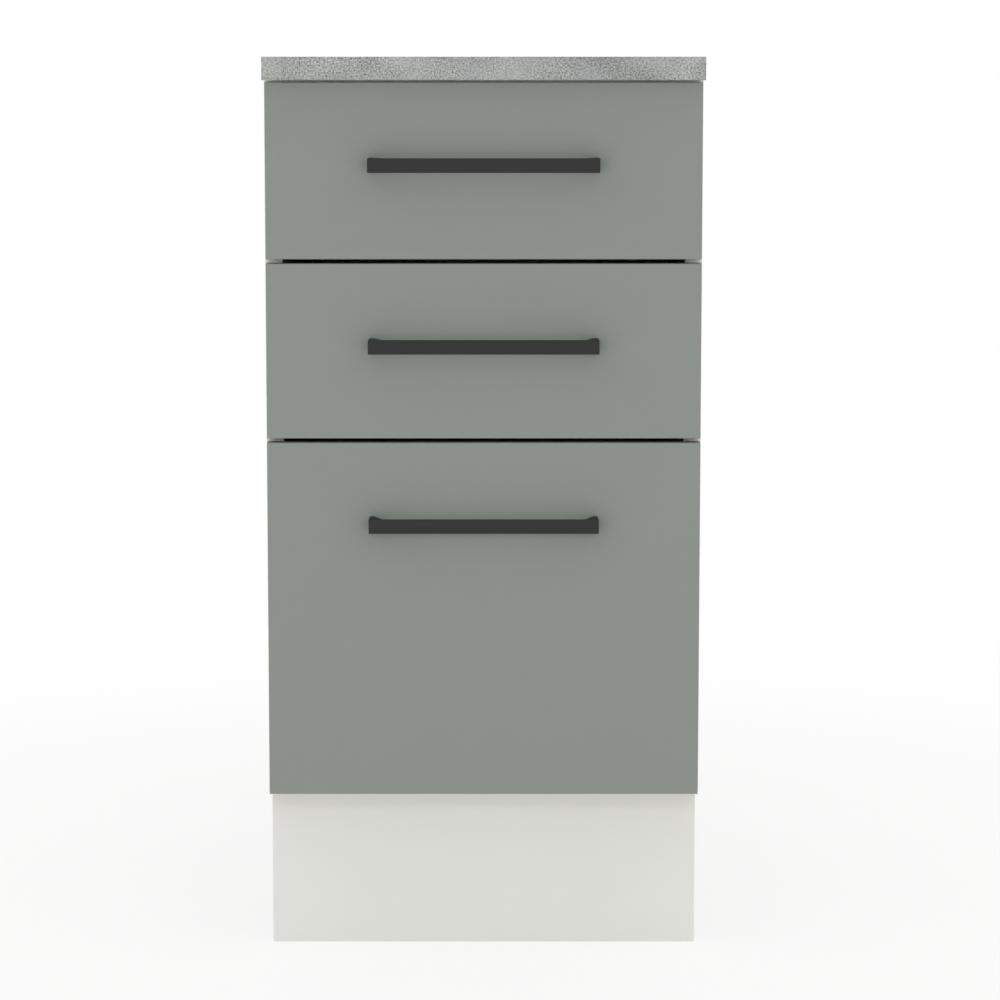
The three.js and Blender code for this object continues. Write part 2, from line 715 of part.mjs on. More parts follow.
function addDrawer(number, frontBottom, frontHeight, isDeep) {
  const drawer = new THREE.Group();
  drawer.position.set(0, 0, frontBottom + RAIL_FLOOR_ABOVE_FRONT);
  unit.add(drawer);
  const name = `drawer_${number}`;
  const handleHeight = frontHeight - RAIL_FLOOR_ABOVE_FRONT - HANDLE_BELOW_TOP;
  add(drawer, `${name}_front`, drawerFront(frontHeight), "front");
  add(drawer, `${name}_handle`, handle(), "handle", [0, 0, handleHeight]);
  add(drawer, `${name}_bottom`, drawerBottom(), "board");
  add(drawer, `${name}_back`, isDeep ? deepBack() : shallowBack(), "board");
  for (const { side, sign } of SIDES) {
    add(drawer, `${name}_side_${side}`, drawerSide(sign), "steel");
    add(drawer, `${name}_rail_${side}`, cabinetRail(sign), "steel");
    add(drawer, `${name}_front_roller_${side}`, roller(sign, FRONT_ROLLER_START), "nylon", [
      0,
      FRONT_ROLLER_Y,
      FRONT_ROLLER_Z,
    ]);
    add(drawer, `${name}_rear_roller_${side}`, roller(sign, REAR_ROLLER_START), "nylon", [
      0,
      REAR_ROLLER_Y,
      REAR_ROLLER_Z,
    ]);
    if (isDeep) {
      const x = sign * (INNER_WALL - GALLERY_FROM_WALL);
      add(drawer, `${name}_gallery_${side}`, galleryRail(), "steel", [x, 0, GALLERY_HEIGHT]);
    }
  }
}

addDrawer(1, TOP_FRONT, SHALLOW_FRONT, false);
addDrawer(2, MIDDLE_FRONT, SHALLOW_FRONT, false);
addDrawer(3, LOWEST_FRONT, DEEP_FRONT, true);

export default unit;
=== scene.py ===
"""Looks of a three-drawer kitchen base unit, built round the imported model.

The unit stands on the floor with its drawer fronts facing -Y and +Z up. Boards, folded steel and
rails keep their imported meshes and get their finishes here. Handles, legs, rollers and gallery
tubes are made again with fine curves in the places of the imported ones, and the small fasteners
and bumpers are added. Shapes are given in millimetres and built in metres.
"""

import logging
import math
from abc import ABC, abstractmethod
from collections.abc import Iterable, Sequence
from dataclasses import dataclass, field
from enum import Enum
from functools import reduce
from itertools import pairwise, product

import bmesh
import bpy
from mathutils import Matrix, Vector


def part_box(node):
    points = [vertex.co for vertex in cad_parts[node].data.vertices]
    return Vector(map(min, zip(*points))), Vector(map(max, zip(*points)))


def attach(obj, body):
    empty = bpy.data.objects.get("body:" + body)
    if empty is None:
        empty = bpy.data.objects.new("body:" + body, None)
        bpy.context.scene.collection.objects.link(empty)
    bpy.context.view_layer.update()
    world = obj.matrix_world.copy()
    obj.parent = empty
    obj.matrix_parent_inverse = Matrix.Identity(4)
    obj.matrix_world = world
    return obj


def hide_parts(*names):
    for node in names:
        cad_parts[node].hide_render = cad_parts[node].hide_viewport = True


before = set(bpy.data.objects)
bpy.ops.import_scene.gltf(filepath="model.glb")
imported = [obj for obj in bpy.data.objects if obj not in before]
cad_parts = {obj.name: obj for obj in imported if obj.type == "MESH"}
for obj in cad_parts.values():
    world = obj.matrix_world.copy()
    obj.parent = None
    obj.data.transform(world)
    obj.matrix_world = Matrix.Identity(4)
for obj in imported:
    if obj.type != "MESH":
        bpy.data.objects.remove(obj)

LOG = logging.getLogger("base_unit")
MM = 0.001

Pair = tuple[float, float]
Triple = tuple[float, float, float]
Colour = tuple[float, float, float, float]

# Half the width between the side panels, in millimetres
INNER = 184.0
# The cosine above which a face counts as looking to a side of the unit
SQUARE_ON = 0.95
# The angle between faces, in degrees, above which the shading keeps an edge sharp
SHARP_ANGLE = 32.0
# Ways that screws' heads look
DOWN: Triple = (0.0, 0.0, -1.0)
REARWARD: Triple = (0.0, 1.0, 0.0)


class Axis(Enum):
    """An axis of the unit."""

    X = 0
    Y = 1
    Z = 2

    def point(self, a: float, b: float, along: float) -> Triple:
        """Returns the point at (a, b) across this axis and at the given place along it."""
        return {Axis.X: (along, a, b), Axis.Y: (a, along, b), Axis.Z: (a, b, along)}[self]


class Facing(Enum):
    """A side of the unit that a face looks to: its axis, and the way along it."""

    LEFT = (0, -1)
    RIGHT = (0, 1)
    REAR = (1, 1)
    UNDER = (2, -1)


class Side(Enum):
    """The left or right of the unit, as seen from the front, with its way along X."""

    LEFT = -1
    RIGHT = 1

    @property
    def word(self) -> str:
        """The side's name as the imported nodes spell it."""
        return self.name.lower()


# ---- Shader maths ---------------------------------------------------------------------------


class Field:
    """A number, colour or vector over a surface, held as the socket that carries it.

    Operators on fields add the nodes that work them out: Math nodes for numbers, and Vector Math
    for colours and vectors.
    """

    def __init__(self, graph: "Graph", socket: bpy.types.NodeSocket) -> None:
        """Wraps an output socket of one of the graph's nodes."""
        self.graph = graph
        self.socket = socket

    @property
    def is_wide(self) -> bool:
        """Whether the socket carries a colour or a vector."""
        return self.socket.type in {"VECTOR", "RGBA"}

    @staticmethod
    def _widen(value: "Value") -> "Value":
        """Returns a plain number as three equal ones, and any other value as it is."""
        return (value, value, value) if isinstance(value, (int, float)) else value

    def _join(self, operation: str, first: "Value", second: "Value") -> "Field":
        """Adds the node for one operation on two values.

        Args:
            operation: The Math or Vector Math operation's name.
            first: The left value.
            second: The right value.

        Returns:
            The field of the node's result.
        """
        wide = any(isinstance(v, Field) and v.is_wide for v in (first, second))
        kind = "ShaderNodeVectorMath" if wide else "ShaderNodeMath"
        values = [self._widen(v) if wide else v for v in (first, second)]
        return self.graph.node(kind, {"operation": operation}, dict(enumerate(values)))

    def __add__(self, other: "Value") -> "Field":
        """Returns the sum."""
        return self._join("ADD", self, other)

    def __radd__(self, other: "Value") -> "Field":
        """Returns the sum, reflected."""
        return self._join("ADD", other, self)

    def __sub__(self, other: "Value") -> "Field":
        """Returns the difference."""
        return self._join("SUBTRACT", self, other)

    def __rsub__(self, other: "Value") -> "Field":
        """Returns the difference, reflected."""
        return self._join("SUBTRACT", other, self)

    def __mul__(self, other: "Value") -> "Field":
        """Returns the product."""
        return self._join("MULTIPLY", self, other)

    def __rmul__(self, other: "Value") -> "Field":
        """Returns the product, reflected."""
        return self._join("MULTIPLY", other, self)

    def __mod__(self, other: "Value") -> "Field":
        """Returns the remainder, never negative."""
        return self._join("FLOORED_MODULO", self, other)

    def __pow__(self, other: "Value") -> "Field":
        """Returns the power."""
        return self._join("POWER", self, other)

    def __gt__(self, other: "Value") -> "Field":
        """Returns 1 where this field is the larger, else 0."""
        return self._join("GREATER_THAN", self, other)

    def __lt__(self, other: "Value") -> "Field":
        """Returns 1 where this field is the smaller, else 0."""
        return self._join("LESS_THAN", self, other)

    def __abs__(self) -> "Field":
        """Returns the number without its sign."""
        return self.graph.node("ShaderNodeMath", {"operation": "ABSOLUTE"}, {0: self})

    def most(self, other: "Value") -> "Field":
        """Returns the larger of this field and another."""
        return self._join("MAXIMUM", self, other)

    def least(self, other: "Value") -> "Field":
        """Returns the smaller of this field and another."""
        return self._join("MINIMUM", self, other)

    def step(self, low: float, high: float) -> "Field":
        """Runs smoothly from 0 to 1.

        Args:
            low: Where the result is 0.
            high: Where the result is 1.

        Returns:
            The smooth step.
        """
        settings = {"interpolation_type": "SMOOTHSTEP", "clamp": True}
        inputs = {"Value": self, "From Min": low, "From Max": high}
        return self.graph.node("ShaderNodeMapRange", settings, inputs, "Result")


Value = Field | float | tuple[float, ...]


def paint(red: float, green: float, blue: float) -> Colour:
    """Turns a colour as a screen shows it into the linear colour that a shader takes.

    Args:
        red: Red, 0 to 255.
        green: Green, 0 to 255.
        blue: Blue, 0 to 255.

    Returns:
        The linear colour, with an alpha of 1.
    """
    shares = [c / 255 for c in (red, green, blue)]
    linear = [s / 12.92 if s <= 0.04045 else ((s + 0.055) / 1.055) ** 2.4 for s in shares]
    return (*linear, 1.0)


def shaded(colour: Colour, factor: float) -> Colour:
    """Returns a linear colour made darker or lighter by a factor."""
    return (*(c * factor for c in colour[:3]), 1.0)


class Graph:
    """The node graph of a material or of the world."""

    def __init__(self, tree: bpy.types.NodeTree) -> None:
        """Empties a node tree to build in it."""
        self.tree = tree
        self.tree.nodes.clear()

    def node(
        self,
        kind: str,
        settings: dict[str, object] | None = None,
        inputs: dict[str | int, Value] | None = None,
        output: str | int = 0,
    ) -> Field | None:
        """Adds a node.

        Args:
            kind: The node's type, such as "ShaderNodeTexNoise".
            settings: Its properties, such as a Math node's operation.
            inputs: The values or fields of its input sockets, by name or place.
            output: The output socket to return, by name or place.

        Returns:
            The field of that output socket, or None for a node that ends the graph.
        """
        made = self.tree.nodes.new(kind)
        for key, value in (settings or {}).items():
            setattr(made, key, value)
        for key, value in (inputs or {}).items():
            if isinstance(value, Field):
                self.tree.links.new(value.socket, made.inputs[key])
            else:
                made.inputs[key].default_value = value
        return Field(self, made.outputs[output]) if made.outputs else None

    def place(self) -> Field:
        """Returns the point on the piece as it stands at rest, in metres."""
        return self.node("ShaderNodeTexCoord", output="Object")

    def axes(self, vector: Field) -> tuple[Field, Field, Field]:
        """Returns a vector's X, Y and Z fields."""
        split = self.node("ShaderNodeSeparateXYZ", inputs={0: vector}).socket.node
        return tuple(Field(self, output) for output in split.outputs)

    def looks(self, *sides: Facing) -> Field:
        """Marks the faces that look to any of the given sides of the unit.

        Args:
            *sides: The sides, at least one.

        Returns:
            1 on those faces, else 0.
        """
        normal = self.axes(self.node("ShaderNodeTexCoord", output="Normal"))
        masks = [normal[side.value[0]] * side.value[1] > SQUARE_ON for side in sides]
        return reduce(Field.most, masks)

    def noise(self, where: Field, size: float, detail: float = 2.0, rough: float = 0.5) -> Field:
        """Adds soft noise, 0 to 1, whose widest patches have the given size in millimetres."""
        inputs = {"Vector": where, "Scale": 1 / (size * MM), "Detail": detail, "Roughness": rough}
        return self.node("ShaderNodeTexNoise", {}, inputs)

    def cells(self, where: Field, size: float, output: str = "Distance") -> Field:
        """Adds random cells, sized in millimetres, as distances from their middles or colours."""
        inputs = {"Vector": where, "Scale": 1 / (size * MM)}
        return self.node("ShaderNodeTexVoronoi", {}, inputs, output)

    def chips(self, where: Field) -> tuple[Field, Field]:
        """Returns random shades for the flakes and for the crumbs of sawn chipboard."""
        flakes, crumbs = (self.axes(self.cells(where, size, "Color")) for size in (2.8, 1.1))
        return flakes[0], crumbs[1]

    def mix(self, first: Value, second: Value, share: Value) -> Field:
        """Mixes two colours, by how much of the second one shows."""
        settings = {"data_type": "RGBA"}
        return self.node("ShaderNodeMix", settings, {0: share, 6: first, 7: second}, 2)

    def seen(self) -> Field:
        """Marks the rays that come from the camera, also by way of a gloss or a glass.

        Returns:
            1 on those rays, else 0.
        """
        paths = self.node("ShaderNodeLightPath").socket.node.outputs
        kinds = ("Is Camera Ray", "Is Glossy Ray", "Is Transmission Ray")
        return reduce(Field.most, [Field(self, paths[kind]) for kind in kinds])

    def surface(
        self,
        colour: Value,
        roughness: Value,
        height: Field | None = None,
        depth: float = 0.05,
        metallic: Value = 0.0,
        **constants: float,
    ) -> None:
        """Ends the graph in a surface.

        Args:
            colour: The base colour.
            roughness: The roughness.
            height: The relief, 0 to 1, if there is any.
            depth: The relief's depth in millimetres.
            metallic: How metallic the surface is.
            **constants: Other sockets of the surface, with spaces written as underscores.
        """
        inputs = {"Base Color": colour, "Roughness": roughness, "Metallic": metallic}
        if height is not None:
            relief = {"Height": height, "Distance": depth * MM, "Strength": 1.0}
            inputs["Normal"] = self.node("ShaderNodeBump", {}, relief, "Normal")
        inputs.update({key.replace("_", " "): value for key, value in constants.items()})
        skin = self.node("ShaderNodeBsdfPrincipled", {}, inputs)
        self.node("ShaderNodeOutputMaterial", {}, {"Surface": skin})


# ---- Finishes -------------------------------------------------------------------------------


@dataclass(frozen=True)
class Finish(ABC):
    """A surface that pieces share.

    Attributes:
        name: The material's name.
    """

    name: str

    @abstractmethod
    def dress(self, graph: Graph) -> None:
        """Builds the shader.

        Args:
            graph: The material's empty graph.
        """

    def material(self) -> bpy.types.Material:
        """Finds the finish's material, or makes it at its first use.

        Returns:
            The material.
        """
        made = bpy.data.materials.get(self.name)
        if made is None:
            made = bpy.data.materials.new(self.name)
            made.use_nodes = True
            self.dress(Graph(made.node_tree))
        return made


@dataclass(frozen=True)
class Coat(Finish):
    """An even coat with a fine skin: foil, powder coat or moulded plastic.

    Attributes:
        colour: The coat's colour.
        roughness: Its mean roughness.
        grain: The width of the skin's bumps, in millimetres.
        depth: Their depth, in millimetres.
        cloud: How much lighter or darker the coat drifts.
        cloud_size: The width of that drift, in millimetres.
        fleck: How much lighter or darker its finest grains are.
        gloss: The strength of a clear layer on top.
        shine: How strongly the coat itself reflects; plain plastic is 0.5.
    """

    colour: Colour
    roughness: float = 0.5
    grain: float = 0.6
    depth: float = 0.01
    cloud: float = 0.02
    cloud_size: float = 70.0
    fleck: float = 0.02
    gloss: float = 0.0
    shine: float = 0.5

    def dress(self, graph: Graph) -> None:
        """Builds the shader.

        Args:
            graph: The material's empty graph.
        """
        where = graph.place()
        skin = graph.noise(where, self.grain, 2.0, 0.6)
        drift = graph.noise(where, self.cloud_size, 1.0)
        share = (drift - 0.5) * self.cloud + (skin - 0.5) * self.fleck + 0.5
        # The mix spans a factor of 0.5 to 1.5, so its middle is the colour itself
        colour = graph.mix(shaded(self.colour, 0.5), shaded(self.colour, 1.5), share)
        roughness = (skin - 0.5) * 0.12 + self.roughness
        extras = {"Coat_Weight": self.gloss, "Specular_IOR_Level": self.shine}
        graph.surface(colour, roughness, skin, self.depth, **extras)


@dataclass(frozen=True)
class ConcreteLaminate(Finish):
    """Concrete-look laminate on chipboard, with a pale backing sheet underneath.

    Attributes:
        light: The colour of its light grains.
        dark: The colour of its dark grains.
        cool: The colour of its bluish stains.
        backing: The colour of the backing sheet.
        chip: The colour of the sawn chipboard at the rear.
    """

    light: Colour = paint(197, 200, 195)
    dark: Colour = paint(98, 102, 100)
    cool: Colour = paint(150, 158, 162)
    backing: Colour = paint(219, 216, 209)
    chip: Colour = paint(190, 158, 116)

    def dress(self, graph: Graph) -> None:
        """Builds the shader.

        Args:
            graph: The material's empty graph.
        """
        where = graph.place()
        grain = graph.noise(where, 1.6, 1.0, 0.6)
        cloud = graph.noise(where, 22, 2.0, 0.45)
        stain = graph.noise(where, 110, 2.0, 0.5)
        # The grain is stronger in some patches than in others
        force = graph.noise(where, 48, 1.0) * 3.0 + 0.7
        shade = (grain - 0.5) * force + (cloud - 0.5) * 0.55 + (stain - 0.5) * 0.4 + 0.465
        colour = graph.mix(self.dark, self.light, shade)
        cool = graph.noise(where, 34, 1.0).step(0.45, 0.75)
        colour = graph.mix(colour, self.cool, cool * 0.3)
        pores = graph.cells(where, 4.5) < 0.1
        colour = graph.mix(colour, shaded(self.dark, 0.6), pores * 0.6)
        flakes, crumbs = graph.chips(where)
        sawn_grain = flakes * 0.4 + crumbs * 0.6
        sawn = graph.mix(shaded(self.chip, 0.65), shaded(self.chip, 1.15), sawn_grain)
        colour = graph.mix(colour, sawn, graph.looks(Facing.REAR))
        colour = graph.mix(colour, self.backing, graph.looks(Facing.UNDER))
        graph.surface(colour, (cloud - 0.5) * 0.2 + 0.52, grain - pores, 0.03)


@dataclass(frozen=True)
class CoatedBoard(Finish):
    """White melamine-faced chipboard with an edge band, with sizes in millimetres.

    Attributes:
        colour: The melamine's colour.
        chip: The colour of the sawn chipboard.
        bare: The sides on which the chipboard shows.
        band_at: Where the banded front edge is along Y, if it has one.
        band: The band's thickness.
        glue: Half the width of the glue line behind the band.
        hole_rows: Where its rows of system holes are along Y.
        hole_pitch: How far apart the holes of a row are.
        hole_radius: The holes' radius.
        holes_from: The height of the lowest hole.
        holes_to: The height of the highest hole.
    """

    colour: Colour = paint(233, 231, 226)
    chip: Colour = paint(194, 163, 121)
    bare: tuple[Facing, ...] = ()
    band_at: float | None = None
    band: float = 1.0
    glue: float = 0.12
    hole_rows: tuple[float, ...] = ()
    hole_pitch: float = 32.0
    hole_radius: float = 2.5
    holes_from: float = 219.0
    holes_to: float = 763.0

    def _holes(self, x: Field, y: Field, z: Field) -> Field:
        """Marks the system holes in the inner faces of the side panels.

        Args:
            x: The place across the unit.
            y: The place along its depth.
            z: The height.

        Returns:
            1 in the holes, else 0.
        """
        pitch = self.hole_pitch * MM
        aside = reduce(Field.least, [abs(y - row * MM) for row in self.hole_rows])
        above = (z - self.holes_from * MM + pitch / 2) % pitch - pitch / 2
        near = (aside * aside + above * above) < (self.hole_radius * MM) ** 2
        middle = (self.holes_from + self.holes_to) / 2 * MM
        reach = (self.holes_to - self.holes_from) / 2 * MM + pitch / 2
        inside = abs(x) < (INNER + 0.5) * MM
        return near * (abs(z - middle) < reach) * inside

    def dress(self, graph: Graph) -> None:
        """Builds the shader.

        Args:
            graph: The material's empty graph.
        """
        where = graph.place()
        x, y, z = graph.axes(where)
        skin = graph.noise(where, 0.9, 2.0, 0.6)
        drift = graph.noise(where, 90, 1.0)
        colour = graph.mix(shaded(self.colour, 0.96), self.colour, drift * 0.6 + skin * 0.4)
        height = skin * 0.25
        roughness = (skin - 0.5) * 0.1 + 0.42
        if self.band_at is not None:
            seam = abs(y - (self.band_at + self.band) * MM) < self.glue * MM
            colour = graph.mix(colour, shaded(self.chip, 0.5), seam * 0.6)
            height = height - seam * 0.5
        if self.bare:
            sawn = graph.looks(*self.bare)
            flakes, crumbs = graph.chips(where)
            fibre = graph.noise(where, 0.7, 3.0, 0.7)
            grain = flakes * 0.3 + crumbs * 0.35 + fibre * 0.35
            chip = graph.mix(shaded(self.chip, 0.6), shaded(self.chip, 1.2), grain)
            colour = graph.mix(colour, chip, sawn)
            height = height + sawn * grain
            roughness = roughness + sawn * 0.4
        if self.hole_rows:
            holes = self._holes(x, y, z)
            # Painted shade: the holes exist only in the shader, so their insides are painted
            # nearly black, in the chipboard's colour darkened to 0.12, for the shade in them
            colour = graph.mix(colour, shaded(self.chip, 0.12), holes)
            height = height - holes
            roughness = roughness + holes * 0.4
        graph.surface(colour, roughness, height, 0.05)


@dataclass(frozen=True)
class Hardboard(Finish):
    """Hardboard, painted white in front and with the press's screen pattern on its rear.

    Attributes:
        painted: The colour of the painted face.
        fibre: The colour of the bare rear.
        screen: The pitch of the screen pattern, in millimetres.
    """

    painted: Colour = paint(228, 226, 220)
    fibre: Colour = paint(150, 112, 78)
    screen: float = 2.2

    def dress(self, graph: Graph) -> None:
        """Builds the shader.

        Args:
            graph: The material's empty graph.
        """
        where = graph.place()
        x, _, z = graph.axes(where)
        fibres = graph.noise(where, 1.8, 4.0, 0.7)
        cloud = graph.noise(where, 40, 2.0)
        pitch = self.screen * MM
        mesh = abs(x % pitch - pitch / 2).least(abs(z % pitch - pitch / 2)) * (2 / pitch)
        bare = graph.looks(Facing.REAR)
        tone = fibres * 0.7 + cloud * 0.3
        board = graph.mix(shaded(self.fibre, 0.6), shaded(self.fibre, 1.25), tone)
        # Painted shade: along the screen's grooves, where the relief is lowest, the bare board is
        # also painted darker
        board = graph.mix(board, shaded(self.fibre, 0.55), (1 - mesh.step(0.0, 0.3)) * 0.5)
        white = graph.mix(shaded(self.painted, 0.95), self.painted, fibres)
        height = mesh * bare + fibres * 0.3
        graph.surface(graph.mix(white, board, bare), bare * 0.35 + 0.45, height, 0.12)


@dataclass(frozen=True)
class PlatedSteel(Finish):
    """Zinc-plated steel with a faint spangle and the drag marks of the rolls.

    Attributes:
        colour: The plating's colour.
        roughness: Its mean roughness.
        spangle: The width of its crystals, in millimetres.
        drawn: The axis that the rolling marks run along.
        narrowness: The rolling marks' width as a share of their length.
    """

    colour: Colour = paint(200, 202, 203)
    roughness: float = 0.34
    spangle: float = 3.0
    drawn: Axis = Axis.Y
    narrowness: float = 0.03

    def dress(self, graph: Graph) -> None:
        """Builds the shader.

        Args:
            graph: The material's empty graph.
        """
        where = graph.place()
        crystal = graph.axes(graph.cells(where, self.spangle, "Color"))[0]
        haze = graph.noise(where, 25, 2.0)
        squeezed = where * tuple(self.narrowness if axis is self.drawn else 1.0 for axis in Axis)
        marks = graph.noise(squeezed, 0.5, 2.0, 0.6)
        shade = crystal * 0.3 + haze * 0.4 + marks * 0.3
        colour = graph.mix(shaded(self.colour, 0.84), shaded(self.colour, 1.05), shade)
        roughness = (crystal - 0.5) * 0.12 + (haze - 0.5) * 0.1 + self.roughness
        graph.surface(colour, roughness, marks, 0.01, metallic=0.92)


class Palette:
    """The finishes of this unit."""

    FRONT = Coat("sage_foil", paint(136, 142, 136), 0.62, grain=0.5, depth=0.006, shine=0.3)
    WORKTOP = ConcreteLaminate("concrete_laminate")
    SIDE_BOARD = CoatedBoard(
        "side_board", bare=(Facing.REAR, Facing.UNDER), band_at=-261, hole_rows=(-224, 253)
    )
    SHELF_BOARD = CoatedBoard("shelf_board", bare=(Facing.REAR,), band_at=-261)
    DRAWER_BOARD = CoatedBoard("drawer_board", bare=(Facing.REAR, Facing.LEFT, Facing.RIGHT))
    DRAWER_BACK = CoatedBoard("drawer_back_board")
    BACK = Hardboard("hardboard")
    PLINTH = Coat(
        "plinth_foil_skin", paint(229, 229, 225), 0.45, grain=0.8, depth=0.01, shine=0.35
    )
    HANDLE = Coat(
        "black_die_cast", paint(49, 50, 49), 0.65, grain=0.35, depth=0.02, fleck=0.16, shine=0.14
    )
    SIDE_STEEL = Coat(
        "grey_powder_coat", paint(188, 190, 191), 0.4, grain=0.7, depth=0.02, fleck=0.08
    )
    RAIL_STEEL = PlatedSteel("zinc_rail")
    SCREW_STEEL = PlatedSteel("screw_steel", paint(214, 212, 204), 0.26, spangle=0.8)
    NYLON = Coat("nylon", paint(233, 230, 220), 0.38, grain=0.3, depth=0.01, gloss=0.1)
    PLASTIC = Coat(
        "black_moulded_plastic", paint(33, 34, 36), 0.46, grain=0.45, depth=0.03, fleck=0.1
    )
    BUMPER = Coat("bumper_rubber", paint(206, 208, 205), 0.3, gloss=0.3)


# ---- Shapes ---------------------------------------------------------------------------------


@dataclass(frozen=True)
class Place:
    """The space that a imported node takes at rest, in millimetres.

    Attributes:
        low: Its lowest corner.
        high: Its highest corner.
    """

    low: Vector
    high: Vector

    @classmethod
    def of(cls, node: str) -> "Place":
        """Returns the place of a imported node."""
        low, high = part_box(node)
        return cls(low / MM, high / MM)

    @property
    def middle(self) -> Vector:
        """The middle of the space."""
        return (self.low + self.high) / 2


def rounded(corners: Sequence[tuple[float, ...]], steps: int = 6) -> list[Pair]:
    """Rounds the corners of an outline.

    Args:
        corners: Each corner as (a, b), or as (a, b, radius) to round it.
        steps: How many parts each round is made of.

    Returns:
        The outline's points.
    """
    points = []
    for i, (a, b, *radii) in enumerate(corners):
        if not radii:
            points.append((a, b))
            continue
        here, radius = Vector((a, b)), radii[0]
        before = (Vector(corners[i - 1][:2]) - here).normalized()
        after = (Vector(corners[(i + 1) % len(corners)][:2]) - here).normalized()
        half = before.angle(after) / 2
        centre = here + (before + after).normalized() * (radius / math.sin(half))
        start = here + before * (radius / math.tan(half)) - centre
        end = here + after * (radius / math.tan(half)) - centre
        first = math.atan2(start.y, start.x)
        turn = math.remainder(math.atan2(end.y, end.x) - first, math.tau)
        for k in range(steps + 1):
            angle = first + turn * k / steps
            round_point = centre + radius * Vector((math.cos(angle), math.sin(angle)))
            points.append((round_point.x, round_point.y))
    return points


def arc(radius: float, start: float, end: float, steps: int) -> list[Pair]:
    """Returns points on an arc round the origin, between two angles given in degrees."""
    angles = [math.radians(start + (end - start) * i / steps) for i in range(steps + 1)]
    return [(radius * math.cos(angle), radius * math.sin(angle)) for angle in angles]


def mirrored(half: Sequence[Pair], low: float, high: float) -> list[Pair]:
    """Returns a symmetric profile, given its half as (radius, distance from the end) points."""
    near = [(radius, low + inset) for radius, inset in half]
    return near + [(radius, high - inset) for radius, inset in reversed(half)]


